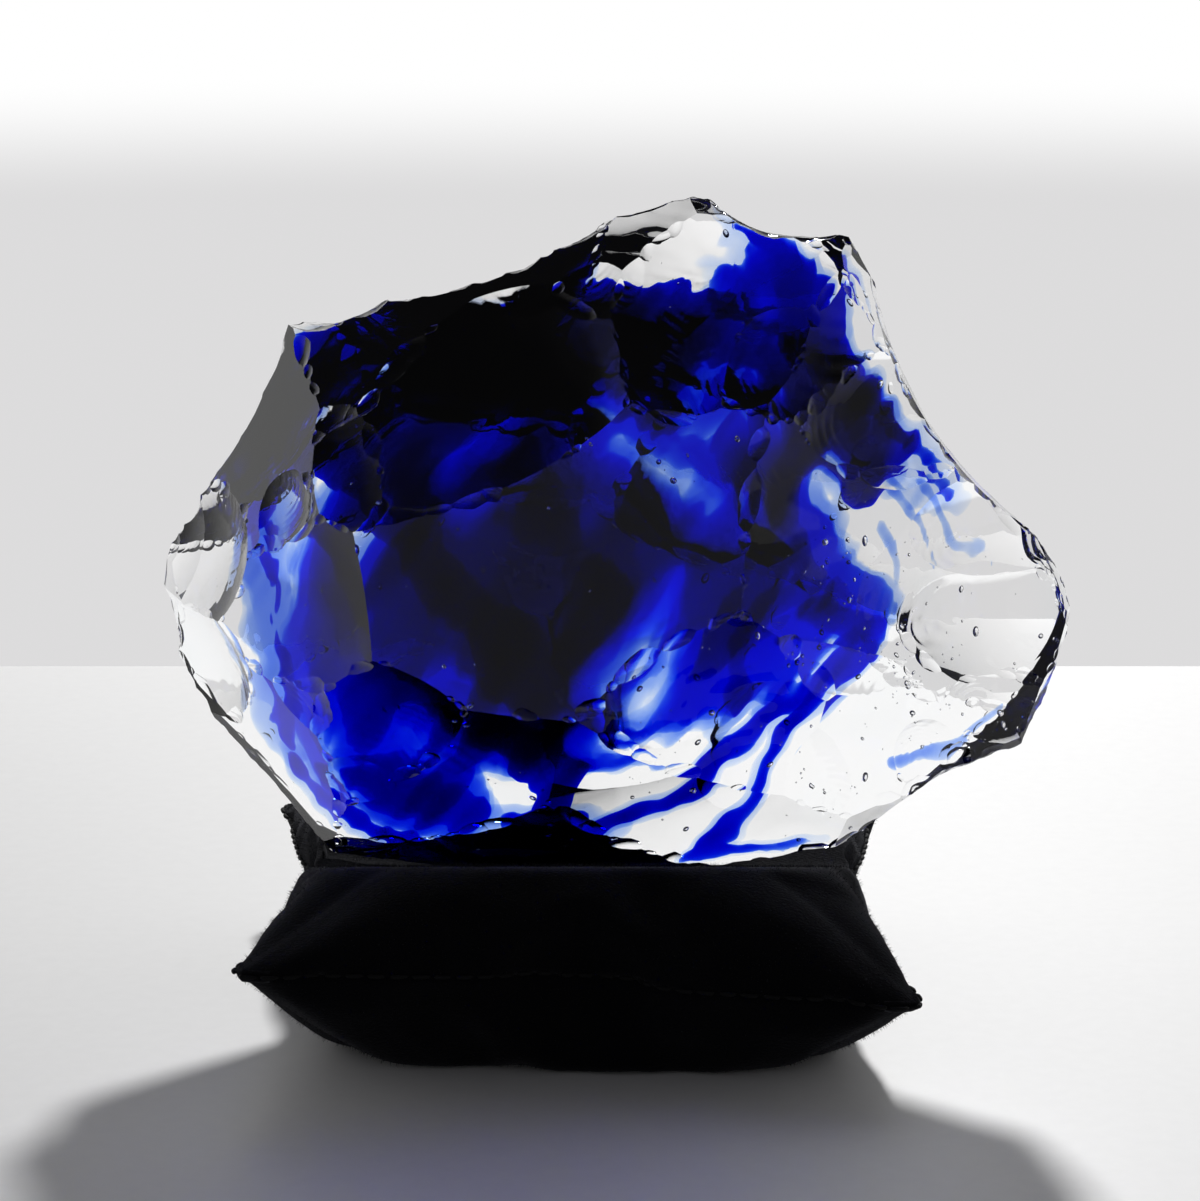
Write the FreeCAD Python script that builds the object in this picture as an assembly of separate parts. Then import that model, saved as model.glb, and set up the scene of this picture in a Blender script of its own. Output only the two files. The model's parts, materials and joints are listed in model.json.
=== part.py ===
"""A hand-broken lump of clear and cobalt furnace glass on the small velvet cushion that displays it.

Millimetres. +X is to the viewer's right, +Y away from the viewer, +Z up. The origin is on the
table, under the middle of the whole object's bounding box.
"""

import FreeCAD
import Part
import math
import os

V = FreeCAD.Vector

# ---- driving dimensions ------------------------------------------------------------------
# The lump's rim: the chain of corners where its front meets its back, clockwise from the left tip.
RIM = [(-63.1, 12, 55.8), (-61.6, 12, 65.9), (-58.9, 11, 71.4), (-44.3, 9, 94.2),
       (-24.1, 6, 101.7), (5.3, 3, 110.8), (10.7, 2, 112.1), (14.1, 2, 112.0),
       (32.2, -3, 107.6), (62.0, -6, 60.9), (63.1, -7, 55.9), (61.3, -8, 49.1),
       (56.4, -8, 38.2), (31.1, -5, 22.4), (13.3, 0, 17.6), (-18.7, 2, 17.0),
       (-38.9, 4, 18.6), (-58.0, 9, 39.8), (-61.1, 11, 45.4)]
# For the side that starts at each rim corner: how far its front and back bevels lean from the
# direction of view, in degrees.
RIM_LEANS = [(20, 34), (22, 32), (28, 28), (32, 26), (30, 26), (26, 24), (26, 24),
             (28, 26), (30, 34), (30, 34), (32, 32), (34, 34), (40, 40), (46, 44),
             (48, 46), (44, 44), (34, 38), (24, 36), (20, 36)]
# The broad faces, each as a point on it and the way it looks.
BROAD_FACES = {
    "front": ((1, -27, 50), (0.05, -1, 0.10)),
    "brow": ((1, -23.5, 85), (-0.01, -0.75, 0.62)),
    "left_strip": ((-38.7, -25, 55), (-0.64, -0.77, 0.06)),
    "right_wedge": ((29.3, -25, 50), (0.36, -0.93, 0.08)),
    "heel": ((1, -26, 36), (0.02, -0.86, -0.50)),
    "back": ((1, 27, 58), (-0.04, 1, 0.08)),
    "back_crown": ((9, 8, 110), (0.05, 0.80, 0.60)),
    "back_left": ((-34.7, 29.5, 60), (-0.48, 0.88, 0.05)),
    "back_right": ((31.3, 20, 55), (0.58, 0.81, -0.05)),
    "back_heel": ((1, 25, 36), (-0.03, 0.84, -0.54)),
}
# Scars left by the blows: a point on the broken surface before the blow, the way the flake came
# off, the radius of its shell-shaped scar, and the scar's depth.
RIM_SCARS = [
    ((-52.2, 10, 81.8), (-0.84, 0.0, 0.54), 30, 2.2),
    ((-36.4, 8, 97.1), (-0.35, 0.10, 0.93), 13, 3.0),
    ((-7.9, 4, 106.5), (-0.30, 0.05, 0.95), 22, 1.6),
    ((22.4, 0, 109.9), (0.25, 0.10, 0.96), 18, 2.8),
    ((46.5, -5, 84.6), (0.84, 0.0, 0.54), 50, 4.4),
    ((-61.8, 12, 51.1), (-1.0, 0.0, -0.10), 5, 2.6),
    ((44.8, -7, 31.3), (0.52, 0.0, -0.85), 32, 1.8),
]
FACE_SCARS = [
    ((-21.2, -8.2, 93.4), (-0.15, -0.72, 0.68), 50, 1.8),
    ((16.0, -10.3, 101.2), (0.05, -0.74, 0.67), 46, 1.6),
    ((31.1, -18.0, 91.2), (0.42, -0.78, 0.46), 52, 1.6),
    ((-4.0, -26.7, 56.0), (0.03, -0.99, 0.10), 120, 1.6),
    ((43.1, -19.2, 56.0), (0.40, -0.90, 0.15), 42, 2.0),
    ((52.9, -15.6, 43.5), (0.45, -0.85, -0.25), 26, 1.6),
    ((19.1, -18.2, 37.5), (0.15, -0.95, -0.25), 60, 1.2),
    ((-44.2, -16.9, 49.9), (-0.66, -0.75, 0.05), 70, 0.8),
    ((-56.7, 2.1, 65.9), (-0.92, -0.35, 0.15), 20, 1.8),
    ((-57.0, 2.6, 45.7), (-0.88, -0.35, -0.30), 26, 1.0),
    ((-12.0, 26.2, 61.9), (0.0, 0.98, 0.15), 80, 2.6),
    ((25.9, 21.6, 77.9), (0.30, 0.90, 0.30), 44, 2.4),
    ((44.4, 10.5, 52.0), (0.60, 0.80, 0.0), 36, 2.2),
    ((-43.8, 23.6, 76.8), (-0.55, 0.78, 0.25), 38, 2.4),
    ((-16.1, 16.6, 98.5), (-0.10, 0.80, 0.60), 30, 2.0),
]
# Cobalt glass gathered inside the clear: centre, half sizes, and turn about Y in degrees.
COBALT_MASSES = {
    "cobalt_core": ((-4.5, 0.0, 60.5), (35.0, 18.0, 22.0), -6),
    "cobalt_brow_cloud": ((-17.5, 1.5, 91.5), (15.0, 6.0, 5.0), -20),
    "cobalt_crest_streak": ((19.0, -1.0, 95.5), (5.4, 6.0, 10.5), -22),
    "cobalt_left_veil": ((-46.0, -1.5, 55.0), (3.4, 7.0, 13.0), -2),
    "cobalt_left_cloud": ((-30.0, -0.5, 32.0), (9.5, 6.0, 4.0), 22),
    "cobalt_heel_ribbon": ((-9.0, 1.5, 26.6), (11.5, 4.5, 2.6), 4),
    "cobalt_lower_ribbon": ((20.0, -3.0, 37.5), (14.5, 6.0, 2.8), -42),
    "cobalt_right_streak": ((37.5, -3.5, 77.0), (7.0, 6.0, 3.6), 46),
    "cobalt_right_wisp": ((45.0, -7.0, 41.0), (6.0, 3.0, 1.5), -28),
}

# The cushion: two panels of velvet sewn round the edge, turned and stuffed.
CUSHION_X = -4.4            # its middle, to the left of the lump's
CUSHION_HEIGHT = 28.0
SEAM_Z = 14.5
CORNER_REACH = 45.0         # from its middle to a corner, along X and along Y
CORNER_RADIUS = 3.2
SIDE_PULL = 4.5             # how far a side's middle pulls in between two corners at the seam
VELVET_THICKNESS = 1.2
SEAT_CLEARANCE = 0.4        # between the lump and the velvet that it presses into
THREAD_RADIUS = 0.35
EDGE_STITCHES = 80          # all the way round
EDGE_STITCH_LENGTH = 2.8
CLOSING_STITCHES = 12
CLOSING_STITCH_PITCH = 3.2
CLOSING_STITCH_LENGTH = 2.6

# Level, half width as a share of CORNER_REACH, corner radius, and side pull as a share of the
# pull at the seam.
CUSHION_LEVELS = [(0.00, 0.66, 13.0, 0.0), (0.10, 0.82, 10.0, 0.2), (0.27, 0.94, 6.5, 0.7),
                  (0.50, 1.00, CORNER_RADIUS, 1.0), (0.74, 0.95, 6.5, 0.7),
                  (0.91, 0.83, 10.0, 0.2), (1.00, 0.66, 13.0, 0.0)]

BLANK_SIZE = 400.0          # the block that stands for one side of a plane
VIEW = V(0, 1, 0)           # from the viewer to the object


# ---- the glass ---------------------------------------------------------------------------
def beyond_plane(point, normal):
    """A block that holds everything on the outer side of a plane."""
    block = Part.makeBox(BLANK_SIZE, BLANK_SIZE, BLANK_SIZE,
                         V(-BLANK_SIZE / 2, -BLANK_SIZE / 2, 0))
    turn = FreeCAD.Rotation(V(0, 0, 1), normal)
    return block.transformed(FreeCAD.Placement(point, turn).toMatrix(), True)


def lump_planes():
    """Every plane of the lump as (point, outward normal)."""
    planes = []
    for i, leans in enumerate(RIM_LEANS):
        corner = V(*RIM[i])
        side = V(*RIM[(i + 1) % len(RIM)]) - corner
        outward = side.cross(VIEW).normalize()
        backward = outward.cross(side).normalize()
        for lean, turn in zip(leans, (-1, 1)):
            angle = math.radians(lean)
            normal = outward * math.cos(angle) + backward * (turn * math.sin(angle))
            planes.append((corner, normal))
    for point, normal in BROAD_FACES.values():
        planes.append((V(*point), V(*normal).normalize()))
    return planes


def planed_block(offset):
    """The lump before its scars, with every plane moved out by offset."""
    block = Part.makeBox(150, 90, 125, V(-75, -45, 2))
    for point, normal in lump_planes():
        block = block.cut(beyond_plane(point + normal * offset, normal))
    return block


def scar(point, way, radius, depth):
    """The ball whose surface is a shell-shaped scar."""
    outward = V(*way).normalize()
    return Part.makeSphere(radius, V(*point) + outward * (radius - depth))


def broken_lump():
    lump = planed_block(0.0)
    for flake in RIM_SCARS + FACE_SCARS:
        lump = lump.cut(scar(*flake))
    return lump


def cobalt_mass(centre, half_sizes, turn):
    """An ellipsoid of cobalt glass."""
    stretch = FreeCAD.Matrix()
    stretch.scale(*half_sizes)
    shape = Part.makeSphere(1.0).transformGeometry(stretch)
    shape.rotate(V(0, 0, 0), V(0, 1, 0), turn)
    shape.translate(V(*centre))
    return shape


def glass_parts():
    """The clear glass with its hollows, and the cobalt masses that fill them."""
    cobalt = {name: cobalt_mass(*facts) for name, facts in COBALT_MASSES.items()}
    clear = broken_lump()
    for mass in cobalt.values():
        clear = clear.cut(mass)
    return {"clear_glass": clear, **cobalt}


# ---- the cushion -------------------------------------------------------------------------
def arc(start, middle, end):
    if (middle - start).cross(end - start).Length < 1e-7:
        return Part.LineSegment(start, end).toShape()
    return Part.Arc(start, middle, end).toShape()


def cushion_outline(reach, corner_radius, pull, z):
    """A square with rounded corners, whose sides pull in by an arc."""
    rounding = corner_radius * (1 - math.sqrt(0.5))
    quarter = [V(reach, -reach + corner_radius, z), V(reach - pull, 0, z),
               V(reach, reach - corner_radius, z), V(reach - rounding, reach - rounding, z),
               V(reach - corner_radius, reach, z)]
    edges = []
    for turn in range(4):
        spin = FreeCAD.Rotation(V(0, 0, 1), 90 * turn)
        side_start, side_middle, side_end, tip, corner_end = [spin.multVec(p) for p in quarter]
        edges.append(arc(side_start, side_middle, side_end))
        edges.append(arc(side_end, tip, corner_end))
    outline = Part.Wire(edges)
    outline.translate(V(CUSHION_X, 0, 0))
    return outline


def cushion_form(inset):
    """The stuffed cushion, or its filling when inset by the velvet's thickness."""
    outlines = []
    for level, share, corner_radius, pull_share in CUSHION_LEVELS:
        z = inset + level * (CUSHION_HEIGHT - 2 * inset)
        reach = share * CORNER_REACH - inset
        outlines.append(cushion_outline(reach, corner_radius, pull_share * SIDE_PULL, z))
    return Part.makeLoft(outlines, True, False)


def slab(z_low, z_high):
    return Part.makeBox(BLANK_SIZE, BLANK_SIZE, z_high - z_low,
                        V(-BLANK_SIZE / 2, -BLANK_SIZE / 2, z_low))


def seam_knots():
    """Places along the seam, two for each machine stitch, in order round the cushion."""
    path = cushion_outline(CORNER_REACH - 2 * THREAD_RADIUS, CORNER_RADIUS, SIDE_PULL, SEAM_Z)
    return path.discretize(Number=2 * EDGE_STITCHES + 1)


def in_the_opening(point):
    """True in the back seam's middle, where the filling went in: no machine stitches there."""
    return point.y > 0 and abs(point.x - CUSHION_X) < CLOSING_STITCHES / 2 * CLOSING_STITCH_PITCH + 2


def edge_thread():
    """The machine stitching round the edge: short stitches that lie in the seam."""
    knots = seam_knots()
    stitches = []
    for i in range(EDGE_STITCHES):
        if not in_the_opening(knots[2 * i + 1]):
            along = (knots[2 * i + 2] - knots[2 * i]).normalize()
            start = knots[2 * i + 1] - along * (EDGE_STITCH_LENGTH / 2)
            stitches.append(Part.makeCylinder(THREAD_RADIUS, EDGE_STITCH_LENGTH, start, along))
    return Part.makeCompound(stitches)


def closing_stitches():
    """Hand stitches up and down across the back seam, where the filling went in."""
    stitches = []
    back = [knot for knot in seam_knots() if in_the_opening(knot)]
    first = CUSHION_X - (CLOSING_STITCHES - 1) / 2 * CLOSING_STITCH_PITCH
    for i in range(CLOSING_STITCHES):
        x = first + i * CLOSING_STITCH_PITCH
        y = min(back, key=lambda knot: abs(knot.x - x)).y + 2 * THREAD_RADIUS
        foot = V(x, y, SEAM_Z - CLOSING_STITCH_LENGTH / 2)
        stitches.append(Part.makeCylinder(THREAD_RADIUS, CLOSING_STITCH_LENGTH, foot))
    return Part.makeCompound(stitches)


def cushion_parts():
    """The velvet panels and their filling, pressed in by the lump, and the thread."""
    filling = cushion_form(VELVET_THICKNESS).cut(planed_block(SEAT_CLEARANCE + VELVET_THICKNESS))
    velvet = cushion_form(0.0).cut(planed_block(SEAT_CLEARANCE)).cut(filling)
    return {
        "cushion_top_panel": velvet.common(slab(SEAM_Z, 2 * CUSHION_HEIGHT)),
        "cushion_bottom_panel": velvet.common(slab(-1.0, SEAM_Z)),
        "cushion_filling": filling,
        "cushion_edge_thread": edge_thread(),
        "cushion_closing_stitches": closing_stitches(),
    }


# ---- output ------------------------------------------------------------------------------
def main():
    os.makedirs("parts", exist_ok=True)
    parts = {**glass_parts(), **cushion_parts()}
    print("bounding box", Part.makeCompound(list(parts.values())).BoundBox)
    for name, shape in parts.items():
        solids = shape.Solids
        print(f"{name}: {len(solids)} solid(s), {sum(s.Volume for s in solids):.1f} mm3,",
              "valid" if all(s.isValid() for s in solids) else "NOT VALID")
        Part.makeCompound(solids).exportStep(f"parts/{name}.step")


main()
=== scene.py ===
# %% [markdown]
# # A lump of two-colour glass on its velvet cushion
#
# The object is a hand-broken lump of furnace glass. Most of it is clear, and streaks of cobalt blue
# were folded into it while it was soft. When cold glass is struck, flakes fly off and leave
# shell-shaped scars, which meet in edges as sharp as a razor. The lump stands in a small stuffed
# cushion of black velvet. This lesson builds each of these the way it came to be: the glass is flaked,
# the blue is gathered as clouds of colour, and the cushion is sewn, stuffed and pressed.
#
# First comes the frame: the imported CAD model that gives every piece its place.

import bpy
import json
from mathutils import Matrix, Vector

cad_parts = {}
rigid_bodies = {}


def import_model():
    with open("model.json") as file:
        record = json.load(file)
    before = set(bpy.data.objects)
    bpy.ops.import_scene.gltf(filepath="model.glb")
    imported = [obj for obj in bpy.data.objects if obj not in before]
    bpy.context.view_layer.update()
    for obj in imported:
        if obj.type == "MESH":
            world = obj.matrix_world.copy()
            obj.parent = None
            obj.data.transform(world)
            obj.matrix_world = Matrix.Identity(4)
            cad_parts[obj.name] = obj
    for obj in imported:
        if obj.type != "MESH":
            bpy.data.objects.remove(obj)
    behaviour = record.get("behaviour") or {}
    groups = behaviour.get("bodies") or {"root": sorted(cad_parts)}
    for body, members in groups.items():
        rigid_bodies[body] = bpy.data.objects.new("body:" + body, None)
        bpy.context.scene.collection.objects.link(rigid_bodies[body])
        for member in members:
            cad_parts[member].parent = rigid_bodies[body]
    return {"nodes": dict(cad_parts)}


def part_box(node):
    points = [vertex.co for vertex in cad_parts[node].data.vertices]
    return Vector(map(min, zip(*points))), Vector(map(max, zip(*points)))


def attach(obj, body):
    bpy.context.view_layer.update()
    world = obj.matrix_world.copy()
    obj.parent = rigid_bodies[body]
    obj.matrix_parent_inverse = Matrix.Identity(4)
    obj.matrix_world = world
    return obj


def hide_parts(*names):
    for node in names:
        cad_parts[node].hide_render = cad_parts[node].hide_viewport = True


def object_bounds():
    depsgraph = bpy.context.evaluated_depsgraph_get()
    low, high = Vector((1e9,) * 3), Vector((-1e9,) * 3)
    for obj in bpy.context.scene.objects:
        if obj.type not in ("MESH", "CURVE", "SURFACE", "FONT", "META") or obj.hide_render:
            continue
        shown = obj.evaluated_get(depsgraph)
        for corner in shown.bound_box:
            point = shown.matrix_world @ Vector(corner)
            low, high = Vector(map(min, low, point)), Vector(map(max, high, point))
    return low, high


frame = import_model()
CAD_LOW, CAD_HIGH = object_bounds()
print("CAD box", tuple(CAD_LOW), tuple(CAD_HIGH))

# %% Blender's own tools
import itertools
import json
import math

import bmesh
import bpy
import numpy as np
import openvdb
from mathutils import Matrix, Vector, noise

MM = 0.001                                   # one millimetre in Blender's metres
LUMP_LOW, LUMP_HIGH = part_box("clear_glass")
LUMP_SIZE = LUMP_HIGH - LUMP_LOW


def at(right, back, up):
    """A place in the lump, as shares of its box from its left, front and foot."""
    return LUMP_LOW + Vector((right * LUMP_SIZE.x, back * LUMP_SIZE.y, up * LUMP_SIZE.z))


def add_object(name, mesh):
    piece = bpy.data.objects.new(name, mesh)
    bpy.context.scene.collection.objects.link(piece)
    return piece


def mesh_from(name, points, faces):
    mesh = bpy.data.meshes.new(name)
    mesh.from_pydata([tuple(p) for p in points], [], [tuple(f) for f in faces])
    mesh.update()
    return mesh


print("lump", [round(s / MM, 1) for s in LUMP_SIZE], "mm")

# %% [markdown]
# ## A way to write shaders
#
# A shader is a graph of nodes, and a graph is hard to read as a list of links. The small class below
# wraps a socket, so that sums can be written as sums: each operator adds the Math node that it stands
# for. Every other node comes from one method, which is given the node's type, its settings and what
# goes into its sockets.

# %% Shader workbench
class Wire:
    """A node's output that can be used in a sum."""

    def __init__(self, bench, socket):
        self.bench = bench
        self.socket = socket

    def _math(self, operation, first, second):
        return self.bench.add("ShaderNodeMath", {"operation": operation}, {0: first, 1: second})

    def __add__(self, other):
        return self._math("ADD", self, other)

    def __radd__(self, other):
        return self._math("ADD", other, self)

    def __sub__(self, other):
        return self._math("SUBTRACT", self, other)

    def __rsub__(self, other):
        return self._math("SUBTRACT", other, self)

    def __mul__(self, other):
        return self._math("MULTIPLY", self, other)

    def __rmul__(self, other):
        return self._math("MULTIPLY", other, self)

    def other(self, name):
        """Another output of the same node."""
        return Wire(self.bench, self.socket.node.outputs[name])


class Bench:
    """One shader while it is being mixed: a new material's, or that of a world that is handed in."""

    def __init__(self, name, owner=None):
        self.owner = owner or bpy.data.materials.new(name)
        self.owner.use_nodes = True
        self.tree = self.owner.node_tree
        self.tree.nodes.clear()

    def add(self, kind, settings=None, sockets=None, out=0):
        """Any node: its type, its settings, and the values or wires of its sockets."""
        node = self.tree.nodes.new(kind)
        for key, value in (settings or {}).items():
            if key == "stops":
                self._set_ramp(node, value)
            else:
                setattr(node, key, value)
        for key, value in (sockets or {}).items():
            if isinstance(value, Wire):
                self.tree.links.new(value.socket, node.inputs[key])
            else:
                node.inputs[key].default_value = value
        return Wire(self, node.outputs[out]) if len(node.outputs) else node

    @staticmethod
    def _set_ramp(node, stops):
        elements = node.color_ramp.elements
        while len(elements) > len(stops):
            elements.remove(elements[-1])
        while len(elements) < len(stops):
            elements.new(1.0)
        for element, (place, colour) in zip(elements, stops):
            element.position = place
            element.color = colour

    def mix(self, factor, first, second):
        """Two colours blended."""
        return self.add("ShaderNodeMix", {"data_type": "RGBA"}, {0: factor, 6: first, 7: second}, 2)

    def place(self):
        """Where a spot lies on the piece."""
        return self.add("ShaderNodeTexCoord").other("Object")

    def finish(self, surface, volume=None):
        ends = {"Surface": surface}
        if volume is not None:
            ends["Volume"] = volume
        self.add("ShaderNodeOutputMaterial", None, ends)
        print("material", self.owner.name, "has", len(self.tree.nodes), "nodes")
        return self.owner


print("the workbench can add, subtract and multiply wires")


# %% [markdown]
# ## Clear glass
#
# Clear furnace glass bends light by an index of about 1.5 and takes almost none of it. What makes it
# look like broken glass is its surface: fine hackle, which are hair-thin ridges that run away from
# each blow. The big shapes are real geometry. Only the finest ridges are a bump here, from a noise
# that is stretched one way.

# %% Clear glass material
GLASS_INDEX = 1.5
HACKLE_SCALE = (900, 900, 140)               # ridges for every metre: fine two ways, long the third
HACKLE_HEIGHT = 0.04 * MM


def clear_glass_material():
    bench = Bench("clear furnace glass")
    place = bench.place()
    stretched = bench.add("ShaderNodeMapping", None,
                          {"Vector": place, "Rotation": (0.2, 0.5, 0.1), "Scale": HACKLE_SCALE})
    hackle = bench.add("ShaderNodeTexNoise", None, {"Vector": stretched, "Scale": 1.0, "Detail": 3.0})
    patches = bench.add("ShaderNodeTexNoise", None, {"Vector": place, "Scale": 60.0, "Detail": 2.0})
    patches = bench.add("ShaderNodeValToRGB", {"stops": [(0.52, (0, 0, 0, 1)), (0.66, (1, 1, 1, 1))]},
                        {"Fac": patches})
    bump = bench.add("ShaderNodeBump", None,
                     {"Strength": 0.05, "Distance": HACKLE_HEIGHT, "Height": hackle * patches})
    colour = bench.mix(patches, (1.0, 1.0, 1.0, 1), (0.97, 0.985, 0.99, 1))
    surface = bench.add("ShaderNodeBsdfPrincipled", None,
                        {"Base Color": colour, "Roughness": 0.0, "IOR": GLASS_INDEX,
                         "Transmission Weight": 1.0, "Normal": bump})
    return bench.finish(surface)


CLEAR_GLASS = clear_glass_material()

# %% [markdown]
# ## Cobalt glass
#
# Cobalt doesn't paint the surface. It is dissolved in the glass, and takes red and green light away
# over the length that light travels through it, so a thin edge is sky blue and a thick mass is
# almost black. A volume that only absorbs does exactly that. The colour bodies lie inside the clear
# glass and bend light no further, so their surface has an index of 1. Five strengths are mixed, from
# a thin veil to folds that let almost nothing through.

# %% Cobalt glass materials
COBALT_TINT = (0.0, 0.34, 0.953, 1)            # the share of red, green and blue that gets through


def cobalt_material(name, per_metre):
    """Clear glass with cobalt in it. per_metre says how strongly it absorbs."""
    bench = Bench(name)
    wisps = bench.add("ShaderNodeTexNoise", None,
                      {"Vector": bench.place(), "Scale": 120.0, "Detail": 3.0, "Distortion": 0.6})
    colour = bench.mix(wisps, (0.90, 0.95, 1.0, 1), (1.0, 1.0, 1.0, 1))
    surface = bench.add("ShaderNodeBsdfPrincipled", None,
                        {"Base Color": colour, "Roughness": 0.0, "IOR": 1.0,
                         "Transmission Weight": 1.0})
    inside = bench.add("ShaderNodeVolumeAbsorption", None,
                       {"Color": COBALT_TINT, "Density": per_metre})
    return bench.finish(surface, inside)


COBALT_VEIL = cobalt_material("cobalt glass, thin veil", 110.0)
COBALT_BODY = cobalt_material("cobalt glass, body", 480.0)
COBALT_HEART = cobalt_material("cobalt glass, heart", 1700.0)
COBALT_STREAK = cobalt_material("cobalt glass, drawn streak", 2600.0)
COBALT_FOLDS = cobalt_material("cobalt glass, dark folds", 4600.0)

# %% [markdown]
# ## The flaked surface
#
# The lump's coarse planes come from the CAD model. Its real skin is made of scars. A flake leaves a
# shallow dish, and the crack that frees it runs out from the point of the blow in slow ripples. So
# each cutter here is a lens whose underside is part of a ball with rings around the blow, and a
# boolean takes it away from the lump. A sculpted displacement would round the edges off, and the
# sharp edge where two scars meet is what makes broken glass look broken.

# %% The lump's outer skin
def outer_skin(node_name):
    """The outermost closed surface of a CAD node, as a new mesh."""
    body = bmesh.new()
    body.from_mesh(frame["nodes"][node_name].data)
    bmesh.ops.remove_doubles(body, verts=body.verts, dist=1e-6)
    unseen = set(body.verts)
    largest = []
    while unseen:
        front = [unseen.pop()]
        island = list(front)
        while front:
            for edge in front.pop().link_edges:
                for vert in edge.verts:
                    if vert in unseen:
                        unseen.remove(vert)
                        front.append(vert)
                        island.append(vert)
        if not largest or spread(island) > spread(largest):
            largest = island
    keep = set(largest)
    bmesh.ops.delete(body, geom=[v for v in body.verts if v not in keep], context="VERTS")
    mesh = bpy.data.meshes.new("lump skin")
    body.to_mesh(mesh)
    body.free()
    return mesh


def spread(verts):
    return max(v.co.x for v in verts) - min(v.co.x for v in verts)


lump = add_object("clear_glass_lump", outer_skin("clear_glass"))
print("skin has", len(lump.data.polygons), "faces")


# %% The lens that takes a flake off
def frame_along(way, towards):
    """A turn whose Z is the way and whose X leans towards a direction."""
    z = Vector(way).normalized()
    x = Vector(towards) - z * Vector(towards).dot(z)
    x = x.normalized() if x.length > 1e-6 else z.orthogonal().normalized()
    return Matrix((x, z.cross(x), z)).transposed()


DISH_REACH = 1.3                             # how far the fine rings go, in dish radii
LENS_REACH = 0.8                             # how far the lens goes, in ball radii
RING_GROWTH = 1.35                           # each coarse ring is this much wider than the last
BLOW_PLACE = 0.9                             # where the blow fell, in dish radii from the middle
SPOKES = 84


def flake_lens(point, way, radius, depth, blow, ripple=0.04, pitch=2.2, stretch=1.0, rings=26):
    """A closed cutter, sizes in mm: its underside is a rippled dish about point, and blow is the
    direction from the dish's middle to where the crack began."""
    foot = math.sqrt(2 * radius * depth)
    reach = DISH_REACH * foot
    steps = [reach * (i + 1) / rings for i in range(rings)]
    while steps[-1] < LENS_REACH * radius:
        steps.append(min(steps[-1] * RING_GROWTH, LENS_REACH * radius))
    turn = frame_along(way, blow)
    blow_at = BLOW_PLACE * foot
    points = []
    for r in [0.0] + steps:
        for k in range(SPOKES if r else 1):
            angle = 2 * math.pi * k / SPOKES
            x, y = r * math.cos(angle), r * math.sin(angle)
            height = radius - math.sqrt(radius * radius - r * r) - depth
            away = math.hypot(x - blow_at, y)
            fade = max(0.0, 1.0 - (r / reach) ** 4)
            patch = 0.5 + 0.9 * noise.noise(Vector((x, y, depth * 7)) * 0.09)
            near_blow = math.exp(-away / reach) * max(0.0, patch)
            bend = max(0.0, away + 0.9 * noise.noise(Vector((x, y, depth * 11)) * 0.12))
            height += fade * near_blow * 1.6 * ripple * math.sin(2 * math.pi * (bend / pitch) ** 1.1)
            spot = Vector(point) + turn @ (Vector((x * stretch, y, height)) * MM)
            lumps = noise.noise(spot * 140.0) * 0.18 + noise.noise(spot * 420.0) * 0.05
            spot += turn @ Vector((0, 0, lumps * fade * min(1.0, depth) * MM))
            points.append(spot)
    lid = Vector(point) + turn @ Vector((0, 0, (height + 1.0) * MM))
    faces = [(0, 1 + k, 1 + (k + 1) % SPOKES) for k in range(SPOKES)]
    for ring in range(len(steps) - 1):
        a, b = 1 + ring * SPOKES, 1 + (ring + 1) * SPOKES
        faces += [(a + k, b + k, b + (k + 1) % SPOKES, a + (k + 1) % SPOKES) for k in range(SPOKES)]
    rim = 1 + (len(steps) - 1) * SPOKES
    faces += [(len(points), rim + (k + 1) % SPOKES, rim + k) for k in range(SPOKES)]
    return points + [lid], [tuple(reversed(face)) for face in faces]


def label_flake(mesh, number):
    """Each flake's faces carry its number, so that the edges between two flakes can stay sharp."""
    tag = mesh.attributes.new("flake", "INT", "FACE")
    tag.data.foreach_set("value", np.full(len(mesh.polygons), number, np.int32))


flake_numbers = itertools.count(1)


def take_flakes_off(target, cutters):
    """One exact boolean with every cutter."""
    tray = bpy.data.collections.new("flakes")
    for points, faces in cutters:
        mesh = mesh_from("flake", points, faces)
        label_flake(mesh, next(flake_numbers))
        tray.objects.link(bpy.data.objects.new("flake", mesh))
    cut = target.modifiers.new("flaking", "BOOLEAN")
    cut.operand_type = "COLLECTION"
    cut.collection = tray
    cut.operation = "DIFFERENCE"
    cut.solver = "MANIFOLD"
    result = bpy.data.meshes.new_from_object(
        target.evaluated_get(bpy.context.evaluated_depsgraph_get()))
    target.modifiers.clear()
    target.data = result
    for flake in list(tray.objects):
        bpy.data.meshes.remove(flake.data)
    bpy.data.collections.remove(tray)
    print(len(cutters), "flakes off,", len(result.polygons), "faces")


UNFLAKED = 0                                 # the number of the faces that the CAD model gave
label_flake(lump.data, UNFLAKED)

# %% [markdown]
# ### The broad scars
#
# Long, nearly flat flakes thinned the lump first, and then a few dozen blows gave it its faces. The
# places of those scars are shares of the lump's box, and the way each flake came off is a direction.
# The cutter's point is moved onto the skin with a ray that comes from outside, so a scar is as deep
# as it says wherever the skin lies.

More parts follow.
